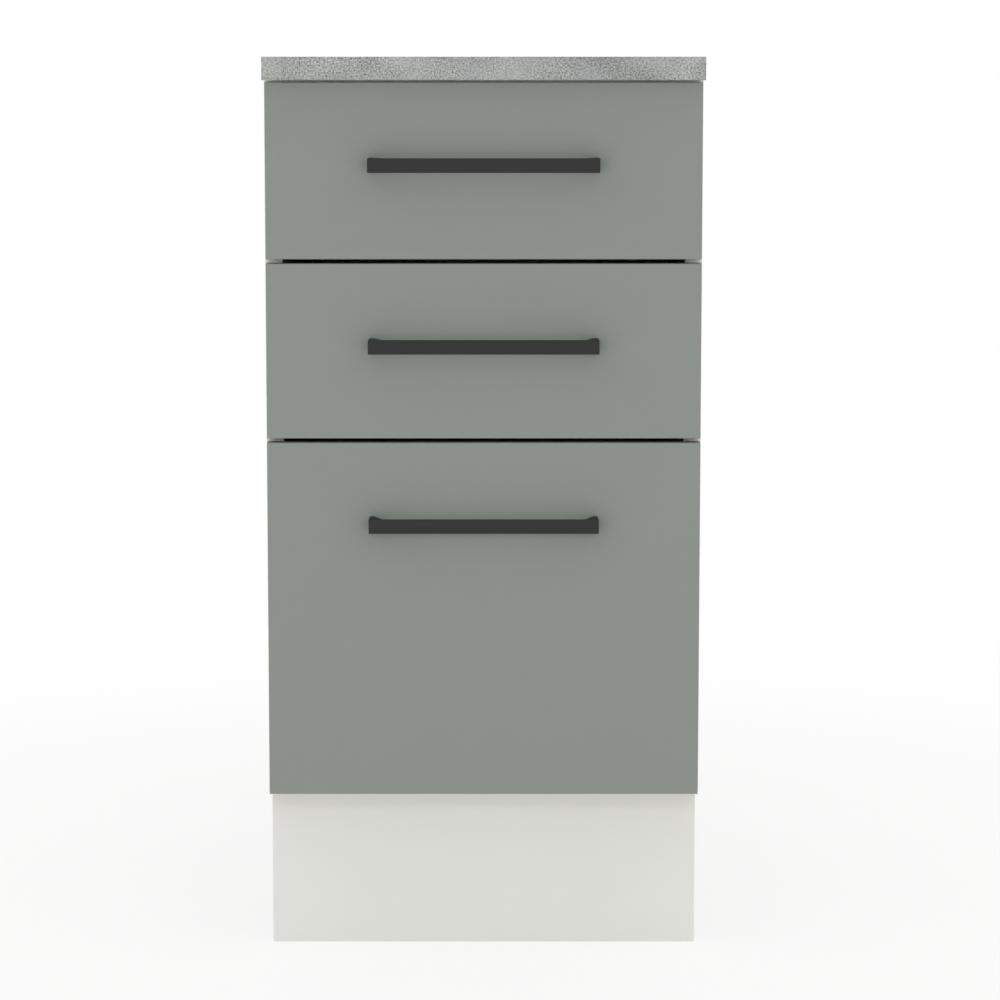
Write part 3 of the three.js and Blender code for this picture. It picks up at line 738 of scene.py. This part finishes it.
class Form:
    """A mesh in the making, in millimetres."""

    def __init__(self) -> None:
        """Starts with nothing."""
        self.mesh = bmesh.new()

    def _loop(self, points: Iterable[Sequence[float]]) -> list[bmesh.types.BMVert]:
        """Adds a corner at each point and returns the corners."""
        return [self.mesh.verts.new(point) for point in points]

    def _bridge(
        self, first: Sequence[bmesh.types.BMVert], second: Sequence[bmesh.types.BMVert]
    ) -> None:
        """Joins two loops by a band of faces, or a loop and a single corner by a fan.

        Args:
            first: The first loop.
            second: The second loop, as long as the first unless one of them is a single corner.
        """
        count = max(len(first), len(second))
        for i in range(count):
            ends = [(i, first), (i + 1, first), (i + 1, second), (i, second)]
            corners = [loop[k % len(loop)] for k, loop in ends]
            self.mesh.faces.new(list(dict.fromkeys(corners)))

    def prism(self, outline: Sequence[Pair], axis: Axis, start: float, end: float) -> "Form":
        """Adds an outline drawn out along an axis.

        Args:
            outline: Its points, across the axis.
            axis: The axis.
            start: Where it starts along the axis.
            end: Where it ends.

        Returns:
            This form.
        """
        near, far = (
            self._loop(axis.point(a, b, along) for a, b in outline) for along in (start, end)
        )
        self._bridge(near, far)
        self.mesh.faces.new(near[::-1])
        self.mesh.faces.new(far)
        return self

    def turned(
        self, profile: Sequence[Pair], axis: Axis, at: Pair = (0, 0), facets: int = 48
    ) -> "Form":
        """Adds a profile turned about a line along an axis.

        Args:
            profile: Its (radius, place along the axis) points. A radius of 0 closes an end, and
                a last point equal to the first closes a ring.
            axis: The axis.
            at: Where the line is, across the axis.
            facets: How many faces go round.

        Returns:
            This form.
        """
        is_ring = profile[0] == profile[-1]
        loops = []
        for radius, along in profile[:-1] if is_ring else profile:
            spokes = arc(radius, 0, 360, facets)[:-1] if radius else [(0.0, 0.0)]
            loops.append(self._loop(axis.point(at[0] + a, at[1] + b, along) for a, b in spokes))
        if is_ring:
            loops.append(loops[0])
        for first, second in pairwise(loops):
            self._bridge(first, second)
        return self

    def head(self, radius: float, height: float, facets: int = 24) -> "Form":
        """Adds a screw head with a cross recess, standing on z = 0.

        Args:
            radius: The head's radius.
            height: Its height.
            facets: How many faces go round.

        Returns:
            This form.
        """
        crown = ((1, 0), (1, 0.35), (0.93, 0.7), (0.78, 1))
        rings = [
            self._loop((a, b, height * up) for a, b in arc(radius * out, 0, 360, facets)[:-1])
            for out, up in crown
        ]
        for first, second in pairwise(rings):
            self._bridge(first, second)
        self.mesh.faces.new(rings[0][::-1])
        # The recess is a quarter's three corners turned round the middle, narrower at its floor
        arm, reach = radius * 0.13, radius * 0.52
        quarter = [(arm, arm), (arm, reach), (-arm, reach)]
        turns = ((1, 0), (0, 1), (-1, 0), (0, -1))
        cross = [(a * c - b * s, a * s + b * c) for c, s in turns for a, b in quarter]
        mouth = self._loop((a, b, height) for a, b in cross)
        floor = self._loop((a * 0.8, b * 0.8, height * 0.3) for a, b in cross)
        self._bridge(mouth, floor)
        self.mesh.faces.new(floor)
        rims = [
            self.mesh.edges.get((loop[i - 1], loop[i]))
            for loop in (rings[-1], mouth)
            for i in range(len(loop))
        ]
        bmesh.ops.triangle_fill(self.mesh, use_beauty=True, edges=rims)
        return self

    def soften(self, width: float, segments: int = 3, angle: float = 40) -> None:
        """Rounds every sharp edge made so far.

        Args:
            width: The width of the rounding.
            segments: How many faces it has across.
            angle: The least angle between faces, in degrees, at which an edge is sharp.
        """
        bmesh.ops.recalc_face_normals(self.mesh, faces=self.mesh.faces)
        limit = math.radians(angle)
        sharp = [edge for edge in self.mesh.edges if edge.calc_face_angle(0) > limit]
        bmesh.ops.bevel(
            self.mesh,
            geom=sharp,
            offset=width,
            segments=segments,
            profile=0.5,
            affect="EDGES",
            clamp_overlap=True,
        )

    def merge(self, other: "Form", place: Matrix) -> None:
        """Adds a copy of another form.

        Args:
            other: The form to copy.
            place: Where the copy goes.
        """
        carrier = bpy.data.meshes.new("carrier")
        other.mesh.to_mesh(carrier)
        carrier.transform(place)
        self.mesh.from_mesh(carrier)
        bpy.data.meshes.remove(carrier)

    def build(
        self, name: str, finish: Finish, body: str, slot: str, replaces: Sequence[str] = ()
    ) -> None:
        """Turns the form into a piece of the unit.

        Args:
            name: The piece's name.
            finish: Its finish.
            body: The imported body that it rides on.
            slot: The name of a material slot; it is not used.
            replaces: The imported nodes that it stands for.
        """
        bmesh.ops.recalc_face_normals(self.mesh, faces=self.mesh.faces)
        bmesh.ops.scale(self.mesh, vec=(MM, MM, MM), verts=self.mesh.verts)
        data = bpy.data.meshes.new(name)
        self.mesh.to_mesh(data)
        self.mesh.free()
        data.shade_smooth()
        data.set_sharp_from_angle(angle=math.radians(SHARP_ANGLE))
        data.materials.append(finish.material())
        piece = bpy.data.objects.new(name, data)
        bpy.context.scene.collection.objects.link(piece)
        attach(piece, body)
        if replaces:
            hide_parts(*replaces)
        LOG.info("%s: made, rides on %s", name, body)


def dress(node: str, finish: Finish) -> None:
    """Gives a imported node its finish.

    Args:
        node: The node's name.
        finish: The finish.
    """
    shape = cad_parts[node]
    if not shape.material_slots:
        shape.data.materials.append(None)
    for place in shape.material_slots:
        place.material = finish.material()
    LOG.info("%s: dressed in %s", node, finish.name)


@dataclass(frozen=True)
class Screw:
    """A screw of which only the head shows, in millimetres.

    Attributes:
        radius: The head's radius.
        height: The head's height.
    """

    radius: float
    height: float

    def drive(self, form: Form, at: Sequence[float], way: Triple) -> None:
        """Adds the screw's head to a form, at a point of its surface and looking one way."""
        turn = Vector(way).to_track_quat("Z", "Y").to_matrix().to_4x4()
        form.merge(Form().head(self.radius, self.height), Matrix.Translation(at) @ turn)


# ---- Cabinet --------------------------------------------------------------------------------


@dataclass
class Carcass:
    """The boards of the cabinet and the cam fittings and screws that hold them.

    Attributes:
        cam: The cam fittings' heads, set in the boards' undersides.
        cam_inset: How far each cam is from the side panel.
        cam_from_front: How far the bottom's front cams are from its front edge.
        cam_from_rear: How far the bottom's rear cams are from its rear edge.
        worktop_screw: The screws up through the rails into the worktop.
        worktop_screw_x: How far they are from the middle.
    """

    cam: Screw = Screw(7.5, 0.4)
    cam_inset: float = 34.0
    cam_from_front: float = 60.0
    cam_from_rear: float = 110.0
    worktop_screw: Screw = Screw(4.2, 2.2)
    worktop_screw_x: float = 80.0

    def build(self) -> None:
        """Dresses the boards and adds the fittings."""
        for side in Side:
            dress(f"side_panel_{side.word}", Palette.SIDE_BOARD)
        for board in ("bottom_panel", "front_rail", "rear_rail"):
            dress(board, Palette.SHELF_BOARD)
        dress("back_panel", Palette.BACK)
        self._fittings()

    def _fittings(self) -> None:
        """Adds the cams and the worktop's screws, all seen from below."""
        form = Form()
        floor = Place.of("bottom_panel")
        rails = [Place.of(rail) for rail in ("front_rail", "rear_rail")]
        cams = [(rail.middle.y, rail.low.z) for rail in rails]
        cams.append((floor.low.y + self.cam_from_front, floor.low.z))
        cams.append((floor.high.y - self.cam_from_rear, floor.low.z))
        for (y, z), side in product(cams, Side):
            x = side.value * (floor.high.x - self.cam_inset)
            self.cam.drive(form, (x, y, z), DOWN)
        for rail, side in product(rails, Side):
            x = side.value * self.worktop_screw_x
            self.worktop_screw.drive(form, (x, rail.middle.y, rail.low.z), DOWN)
        form.build("carcass_fittings", Palette.SCREW_STEEL, "cabinet", "zinc_steel")


@dataclass
class Plinth:
    """The plinth panel and the screws of its clips.

    Attributes:
        clip: The thickness of the clips' plates.
        screw: The screws that hold each clip to the panel.
        spread: How far each screw is from the clip's middle.
    """

    clip: float = 3.0
    screw: Screw = Screw(3.2, 1.8)
    spread: float = 15.0

    def build(self) -> None:
        """Dresses the panel and its clips and adds the screws."""
        dress("plinth_panel", Palette.PLINTH)
        form = Form()
        for side in Side:
            node = f"plinth_clip_{side.word}"
            dress(node, Palette.PLASTIC)
            place = Place.of(node)
            for way in Side:
                x = place.middle.x + way.value * self.spread
                self.screw.drive(form, (x, place.low.y + self.clip, place.middle.z), REARWARD)
        form.build("plinth_clip_screws", Palette.SCREW_STEEL, "cabinet", "zinc_steel")


@dataclass
class Leg:
    """A moulded leg: a socket under the carcass, a tube and a levelling foot.

    Attributes:
        name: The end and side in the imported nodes' names, such as "front_left".
        plate: The width of the socket's plate.
        plate_thickness: Its thickness.
        plate_corner: The radius of its corners; its screws are at their centres.
        rib: The thickness of the ribs under the plate.
        bore: The radius of the socket's bore.
        socket_wall: The wall of the socket's collar.
        tube_radius: The tube's radius.
        tube_wall: Its wall.
        foot_radius: The foot's radius.
        grip: The heights between which the foot has its fluted grip.
        grip_radius: The grip's radius.
        flutes: How many flutes it has.
        flute_depth: Their depth.
        thread: The pitch of the foot's thread.
        screw: The screws in the plate's corners.
        facets: How many faces go round the mouldings.
        at: Where the leg stands, as X and Y.
    """

    name: str
    plate: float = 64.0
    plate_thickness: float = 4.0
    plate_corner: float = 8.0
    rib: float = 3.0
    bore: float = 15.3
    socket_wall: float = 4.0
    tube_radius: float = 15.0
    tube_wall: float = 3.0
    foot_radius: float = 25.0
    grip: Pair = (16.0, 30.0)
    grip_radius: float = 17.0
    flutes: int = 12
    flute_depth: float = 1.6
    thread: float = 2.0
    screw: Screw = Screw(3.8, 1.6)
    facets: int = 64
    at: Pair = field(init=False)

    def __post_init__(self) -> None:
        """Finds where the leg stands."""
        socket = self._place("socket")
        self.at = (socket.middle.x, socket.middle.y)

    def build(self) -> None:
        """Makes the leg's three mouldings and its screws."""
        self._socket()
        self._tube()
        self._foot()

    def _place(self, part: str) -> Place:
        """Returns the place of one of the leg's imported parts."""
        return Place.of(f"leg_{part}_{self.name}")

    def _moved(self, outline: Iterable[Pair]) -> list[Pair]:
        """Returns an outline moved from the origin to the leg."""
        return [(self.at[0] + a, self.at[1] + b) for a, b in outline]

    def _mould(self, form: Form, part: str, body: str = "cabinet") -> None:
        """Turns a form into the moulding that stands for one of the leg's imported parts."""
        name, node = f"leg_{part}_moulding_{self.name}", f"leg_{part}_{self.name}"
        form.build(name, Palette.PLASTIC, body, "black_plastic", [node])

    def _socket(self) -> None:
        """Makes the socket, a plate with a collar and four ribs, and the plate's screws."""
        place = self._place("socket")
        half, wall = self.plate / 2, self.bore + self.socket_wall
        top, rim = place.high.z, place.low.z
        under = top - self.plate_thickness
        seat = under - self.socket_wall / 2
        square = ((-1, -1), (1, -1), (1, 1), (-1, 1))
        corners = [(a * half, b * half, self.plate_corner) for a, b in square]
        form = Form().prism(self._moved(rounded(corners)), Axis.Z, under, top)
        form.soften(0.7, 2)
        # The collar's rim is rounded, and a fillet widens it under the plate
        collar = [(0, seat), (self.bore, seat), (self.bore, rim + 0.6), (self.bore + 0.6, rim)]
        collar += [(wall - 1, rim), (wall - 0.3, rim + 0.3), (wall, rim + 1), (wall, under - 2)]
        collar += [(wall + 0.9, under - 0.6), (wall + 3, under + 0.5), (0, under + 0.5)]
        form.turned(collar, Axis.Z, self.at, self.facets)
        # Each rib starts inside the collar's wall and ends inside the plate
        outline = [(wall - 0.8, rim + 6), (wall + 1, rim + 6), (half - 2, under - 1)]
        outline += [(half - 2, under + 0.5), (wall - 0.8, under + 0.5)]
        rib = Form().prism(outline, Axis.Y, -self.rib / 2, self.rib / 2)
        rib.soften(0.35, 2)
        for quarter in range(4):
            turn = Matrix.Rotation(quarter * math.pi / 2, 4, "Z")
            form.merge(rib, Matrix.Translation((*self.at, 0)) @ turn)
        self._mould(form, "socket")
        screws = Form()
        inset = half - self.plate_corner
        for a, b in product((-1, 1), repeat=2):
            at = (self.at[0] + a * inset, self.at[1] + b * inset, under)
            self.screw.drive(screws, at, DOWN)
        screws.build(f"leg_screws_{self.name}", Palette.SCREW_STEEL, "cabinet", "zinc_steel")

    def _tube(self) -> None:
        """Makes the tube, with a collar at its lower end and a groove above it."""
        place = self._place("tube")
        inner, outer = self.tube_radius - self.tube_wall, self.tube_radius
        low, top, collar = place.low.z, place.high.z, self.tube_radius + 1.5
        profile = [(inner, low), (collar - 0.5, low), (collar, low + 0.5), (collar, low + 5)]
        profile += [(collar - 0.6, low + 5.9), (outer, low + 7), (outer, low + 22)]
        profile += [(outer - 0.35, low + 22.5), (outer - 0.35, low + 25), (outer, low + 25.5)]
        profile += [(outer, top - 1), (outer - 0.7, top), (inner, top), (inner, low)]
        self._mould(Form().turned(profile, Axis.Z, self.at, self.facets), "tube")

    def _foot(self) -> None:
        """Makes the foot: a pad, a fluted grip and the threaded stem inside the tube."""
        edge, grip, top = self.foot_radius, self.grip_radius, self._place("foot").high.z
        grip_low, grip_high = self.grip
        stem = self.tube_radius - self.tube_wall - 0.3
        core = stem - 0.6
        profile = [(0, 0), (edge - 1, 0), (edge - 0.3, 0.3), (edge, 1), (edge, 4.4)]
        profile += [(edge - 0.5, 5.2), (edge - 4, 7.2), (edge - 8, 11.5), (grip - 2.6, 14.6)]
        profile += [(grip - 3, grip_low + 0.5), (core, grip_low + 0.5)]
        for i in range(int((top - grip_high - self.thread) / self.thread)):
            low = grip_high + self.thread * i
            profile += [(core, low + 0.6), (stem, low + 1.2), (stem, low + 1.6)]
        profile += [(stem - 1, top), (0, top)]
        form = Form().turned(profile, Axis.Z, self.at, self.facets)
        spokes = []
        steps = 8 * self.flutes
        for i in range(steps):
            angle = math.tau * i / steps
            radius = grip - self.flute_depth / 2 * (1 - math.cos(self.flutes * angle))
            spokes.append((radius * math.cos(angle), radius * math.sin(angle)))
        ring = Form().prism(self._moved(spokes), Axis.Z, grip_low, grip_high)
        # Only the ring's ends are sharp, and not the flutes
        ring.soften(0.6, 2, 60)
        form.merge(ring, Matrix.Identity(4))
        self._mould(form, "foot", f"leg_foot_{self.name}")


# ---- Drawers --------------------------------------------------------------------------------


@dataclass
class Runner:
    """A roller runner on one side of a drawer: the rail, its screws and the two rollers.

    Attributes:
        drawer: The drawer's number.
        side: The side that it is on.
        web: The thickness of the rail's web.
        screw: The screws through the rail into the side panel.
        screw_from_ends: How far the outer screws are from the rail's ends.
        screw_height: How high the screws are above the rail's lower edge.
        bore: The radius of the rollers' bores.
        hub: The (radius, depth) points of their dished hubs.
        facets: How many faces go round a roller.
    """

    drawer: int
    side: Side
    web: float = 1.2
    screw: Screw = Screw(3.9, 0.8)
    screw_from_ends: float = 46.0
    screw_height: float = 10.5
    bore: float = 2.8
    hub: tuple[Pair, ...] = ((4.6, 0.0), (4.9, 0.5), (6.9, 0.5), (7.2, 0.0), (8.2, 0.0))
    facets: int = 64

    def build(self) -> None:
        """Dresses the rail and makes its screws and rollers."""
        rail = f"drawer_{self.drawer}_rail_{self.side.word}"
        dress(rail, Palette.RAIL_STEEL)
        place, ends = Place.of(rail), self.screw_from_ends
        wall = place.high.x if self.side is Side.RIGHT else place.low.x
        web = wall - self.side.value * self.web
        inward = (-float(self.side.value), 0.0, 0.0)
        form = Form()
        for y in (place.low.y + ends, place.middle.y, place.high.y - ends):
            self.screw.drive(form, (web, y, place.low.z + self.screw_height), inward)
        form.build(f"{rail}_screws", Palette.SCREW_STEEL, "cabinet", "zinc_steel")
        for end in ("front", "rear"):
            self._roller(f"drawer_{self.drawer}_{end}_roller_{self.side.word}")

    def _roller(self, node: str) -> None:
        """Makes a roller: a tread with a rounded rim and a dished hub on each face.

        Args:
            node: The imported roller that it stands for, which is also its body.
        """
        place = Place.of(node)
        radius = (place.high.z - place.low.z) / 2
        half = [(self.bore, 0.0), *self.hub, (radius - 0.25, 0.25), (radius, 0.8)]
        profile = mirrored(half, place.low.x, place.high.x)
        profile.append(profile[0])
        form = Form().turned(profile, Axis.X, (place.middle.y, place.middle.z), self.facets)
        form.build(f"{node}_moulding", Palette.NYLON, node, "nylon", [node])


@dataclass
class Handle:
    """A bow handle: a flat bar with feet that narrow towards the drawer front.

    Attributes:
        drawer: The drawer's number.
        bar: The bar's thickness.
        foot: The width of each foot at the drawer front.
        lean: How much further out each foot's outer face is at the bar.
        shoulder: How far the inner corner is from the bar's end.
        fillet: The rounding of that corner.
        end_round: The rounding of the bar's ends.
        foot_round: The rounding of the feet's corners.
        easing: The rounding of the long edges.
    """

    drawer: int
    bar: float = 4.0
    foot: float = 4.0
    lean: float = 0.5
    shoulder: float = 13.0
    fillet: float = 2.0
    end_round: float = 1.0
    foot_round: float = 0.8
    easing: float = 0.6

    def build(self) -> None:
        """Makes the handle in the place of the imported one."""
        node = f"drawer_{self.drawer}_handle"
        place = Place.of(node)
        end, face, root = place.high.x, place.low.y, place.high.y
        tip = end - self.lean
        half = [(end, face, self.end_round), (tip, root, self.foot_round)]
        half.append((tip - self.foot, root, self.foot_round))
        half.append((end - self.shoulder, face + self.bar, self.fillet))
        corners = half + [(-x, y, radius) for x, y, radius in reversed(half)]
        form = Form().prism(rounded(corners, 10), Axis.Z, place.low.z, place.high.z)
        form.soften(self.easing, 3)
        body = f"drawer_{self.drawer}"
        form.build(f"{node}_casting", Palette.HANDLE, body, "black_handle", [node])


@dataclass
class Drawer:
    """A drawer on its runners, with its front, handle and fasteners.

    Attributes:
        number: The drawer's number, from the top.
        is_deep: Whether it has the high back and the gallery.
        rail_floor: The height of its rails' floor above the front's lower edge.
        bracket: The thickness of the brackets behind the front.
        flange: The thickness of the steel sides' flange under the bottom.
        handle_screw: The machine screws that hold the handle, with the heads inside.
        handle_inset: How far they are from the handle's ends.
        front_screw: The screws of the brackets behind the front.
        board_screw: The screws that hold the bottom and the back to the steel sides.
        screw_insets: How far the front's, the back's and the bottom's screws are from the
            side panels.
        screw_heights: How high the front's and the back's screws are above the rails' floor.
        back_inset: How far the back's screws are from the steel sides' rear ends.
        floor_inset: How far the bottom's outer screws are from the steel sides' ends.
        bumper: The radius of the bumpers behind the front, and how far they stand out.
        bumper_x: How far the bumpers are from the middle.
        bumper_inset: How far they are from the front's upper and lower edges.
        gallery: The radius of the gallery's tubes.
        cup: The (radius, distance from the end) points of the cups that hold them.
        name: The drawer's name, which its body shares.
    """

    number: int
    is_deep: bool = False
    rail_floor: float = 31.0
    bracket: float = 2.0
    flange: float = 1.2
    handle_screw: Screw = Screw(4.2, 2.6)
    handle_inset: float = 4.0
    front_screw: Screw = Screw(3.0, 1.4)
    board_screw: Screw = Screw(3.2, 1.0)
    screw_insets: Triple = (7.2, 12.5, 20.0)
    screw_heights: Pair = (38.0, 68.0)
    back_inset: float = 8.0
    floor_inset: float = 60.0
    bumper: Pair = (4.0, 1.9)
    bumper_x: float = 192.0
    bumper_inset: float = 14.0
    gallery: float = 5.0
    cup: tuple[Pair, ...] = ((5.9, 0.0), (6.3, 0.4), (6.3, 15.2), (6.1, 15.8))
    name: str = field(init=False)

    def __post_init__(self) -> None:
        """Works out the drawer's name."""
        self.name = f"drawer_{self.number}"

    def build(self) -> None:
        """Dresses the drawer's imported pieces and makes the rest."""
        dress(f"{self.name}_front", Palette.FRONT)
        dress(f"{self.name}_bottom", Palette.DRAWER_BOARD)
        dress(f"{self.name}_back", Palette.DRAWER_BACK)
        for side in Side:
            dress(f"{self.name}_side_{side.word}", Palette.SIDE_STEEL)
            Runner(self.number, side).build()
            if self.is_deep:
                self._gallery(side)
        Handle(self.number).build()
        self._screws()
        self._bumpers()

    def _screws(self) -> None:
        """Adds the screws of the handle, the front's brackets, the bottom and the back."""
        form = Form()
        front = Place.of(f"{self.name}_front")
        handle = Place.of(f"{self.name}_handle")
        floor = front.low.z + self.rail_floor
        for side in Side:
            sign = side.value
            at = (sign * (handle.high.x - self.handle_inset), front.high.y, handle.middle.z)
            self.handle_screw.drive(form, at, REARWARD)
            steel = Place.of(f"{self.name}_side_{side.word}")
            front_x, back_x, floor_x = (sign * (INNER - inset) for inset in self.screw_insets)
            for up in self.screw_heights:
                at = (front_x, front.high.y + self.bracket, floor + up)
                self.front_screw.drive(form, at, REARWARD)
                at = (back_x, steel.high.y - self.back_inset, floor + up)
                self.board_screw.drive(form, at, (float(sign), 0.0, 0.0))
            outer = (steel.low.y + self.floor_inset, steel.high.y - self.floor_inset)
            for y in (outer[0], steel.middle.y, outer[1]):
                self.board_screw.drive(form, (floor_x, y, floor - self.flange), DOWN)
        form.build(f"{self.name}_screws", Palette.SCREW_STEEL, self.name, "zinc_steel")

    def _bumpers(self) -> None:
        """Adds the soft bumpers that meet the carcass's front edges."""
        front = Place.of(f"{self.name}_front")
        rear = front.high.y
        radius, height = self.bumper
        dome = [(0, rear), (radius, rear), (radius, rear + 0.5 * height)]
        dome += [(radius * 0.85, rear + 0.85 * height), (radius * 0.5, rear + height)]
        dome += [(0, rear + height)]
        form = Form()
        levels = (front.low.z + self.bumper_inset, front.high.z - self.bumper_inset)
        for side, z in product(Side, levels):
            form.turned(dome, Axis.Y, (side.value * self.bumper_x, z), 24)
        form.build(f"{self.name}_bumpers", Palette.BUMPER, self.name, "nylon")

    def _gallery(self, side: Side) -> None:
        """Makes a gallery: a tube held in a cup at each end.

        Args:
            side: The side that it is on.
        """
        node = f"{self.name}_gallery_{side.word}"
        place = Place.of(node)
        half = [(0, 0), *self.cup, (self.gallery, self.cup[-1][1] + 0.4)]
        profile = mirrored(half, place.low.y, place.high.y)
        form = Form().turned(profile, Axis.Y, (place.middle.x, place.middle.z))
        form.build(f"{node}_tube", Palette.SIDE_STEEL, self.name, "grey_steel", [node])


# ---- Studio ---------------------------------------------------------------------------------


@dataclass(frozen=True)
class Lamp:
    """A soft lamp.

    Attributes:
        name: The lamp's name.
        place: Where it stands, in metres.
        aim: Where it points, in metres.
        size: Its width and height, in metres.
        power: Its power, in watts.
    """

    name: str
    place: Triple
    aim: Triple
    size: Pair
    power: float

    def hang(self) -> None:
        """Adds the lamp to the scene."""
        light = bpy.data.lights.new(self.name, "AREA")
        light.shape = "RECTANGLE"
        light.size, light.size_y = self.size
        light.energy = self.power
        lamp = bpy.data.objects.new(self.name, light)
        lamp.location = self.place
        way = Vector(self.aim) - Vector(self.place)
        lamp.rotation_euler = way.to_track_quat("-Z", "Y").to_euler()
        lamp.visible_camera = False
        bpy.context.scene.collection.objects.link(lamp)


@dataclass(frozen=True)
class Studio:
    """A pale floor, soft light and the camera at the photograph's angle.

    Attributes:
        camera_at: The camera's place, in metres.
        tilt: How far the camera looks down, in degrees.
        lens: Its focal length, in millimetres.
        shift: The frame's shift, right and up.
        sky: How strongly the white surroundings light the unit.
        horizon: How much of that light there is at the horizon.
        sky_rise: The heights, as sines, between which it grows to its full strength.
        floor_size: The floor's width, in metres.
        floor_colour: The colour of the floor's lit surface.
        floor_glow: How much of the floor's own white the camera sees beside that surface.
        floor_fade: How far from the middle the white begins and ends to take over, in metres.
        lamps: The lamps.
    """

    camera_at: Triple = (0.0, -3.379, 0.836)
    tilt: float = 7.085
    lens: float = 122.61
    shift: Pair = (0.0163, -0.02)
    sky: float = 0.9
    horizon: float = 0.2
    sky_rise: Pair = (0.02, 0.3)
    floor_size: float = 14.0
    floor_colour: Colour = paint(244, 243, 241)
    floor_glow: float = 0.8
    floor_fade: Pair = (0.45, 1.6)
    lamps: tuple[Lamp, ...] = (
        Lamp("key", (-1.3, -2.5, 0.32), (0.0, -0.2, 0.35), (1.6, 0.6), 5.8),
        Lamp("fill", (1.5, -2.4, 0.32), (0.0, -0.2, 0.35), (1.6, 0.6), 4.2),
        Lamp("front", (0.0, -1.9, 0.83), (0.0, 0.0, 0.8), (1.5, 0.2), 3.4),
    )

    def build(self) -> None:
        """Adds the camera, the world, the floor and the lamps."""
        self._camera()
        self._world()
        self._floor()
        for lamp in self.lamps:
            lamp.hang()

    def _camera(self) -> None:
        """Adds the camera."""
        lens = bpy.data.cameras.new("camera")
        lens.lens = self.lens
        lens.shift_x, lens.shift_y = self.shift
        camera = bpy.data.objects.new("camera", lens)
        camera.location = self.camera_at
        camera.rotation_euler = (math.radians(90 - self.tilt), 0.0, 0.0)
        bpy.context.scene.collection.objects.link(camera)
        bpy.context.scene.camera = camera
        bpy.context.scene.view_settings.view_transform = "Standard"

    def _world(self) -> None:
        """Adds white surroundings, which look fully white and light the unit more gently."""
        world = bpy.data.worlds.new("white_surroundings")
        world.use_nodes = True
        graph = Graph(world.node_tree)
        seen = graph.seen()
        height = graph.axes(graph.node("ShaderNodeTexCoord", output="Generated"))[2]
        haze = abs(height).step(*self.sky_rise) * (1 - self.horizon) + self.horizon
        light = {"Color": (1.0, 1.0, 1.0, 1.0), "Strength": (1 - seen) * haze * self.sky + seen}
        sky = graph.node("ShaderNodeBackground", {}, light)
        graph.node("ShaderNodeOutputWorld", {}, {"Surface": sky})
        bpy.context.scene.world = world

    def _floor(self) -> None:
        """Adds the floor, which fades to pure white away from the unit."""
        data = bpy.data.meshes.new("floor")
        half = self.floor_size / 2
        corners = [(-half, -half, 0), (half, -half, 0), (half, half, 0), (-half, half, 0)]
        data.from_pydata(corners, [], [(0, 1, 2, 3)])
        material = bpy.data.materials.new("pale_floor")
        material.use_nodes = True
        graph = Graph(material.node_tree)
        x, y, _ = graph.axes(graph.place())
        away = ((x * x + y * y) ** 0.5).step(*self.floor_fade)
        share = graph.seen() * (away * (1 - self.floor_glow) + self.floor_glow)
        lit = graph.node("ShaderNodeBsdfDiffuse", {}, {"Color": self.floor_colour})
        glow = graph.node("ShaderNodeEmission", {}, {"Strength": 1.0})
        mixed = graph.node("ShaderNodeMixShader", {}, {0: share, 1: lit, 2: glow})
        graph.node("ShaderNodeOutputMaterial", {}, {"Surface": mixed})
        data.materials.append(material)
        floor = bpy.data.objects.new("floor", data)
        bpy.context.scene.collection.objects.link(floor)


def main() -> None:
    """Builds the unit's looks and the studio round them."""
    logging.basicConfig(level=logging.INFO, format="%(message)s")
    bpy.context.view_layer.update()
    Carcass().build()
    dress("worktop", Palette.WORKTOP)
    Plinth().build()
    for end, side in product(("front", "rear"), Side):
        Leg(f"{end}_{side.word}").build()
    for number in (1, 2, 3):
        Drawer(number, is_deep=number == 3).build()
    Studio().build()


if __name__ == "__main__":
    main()
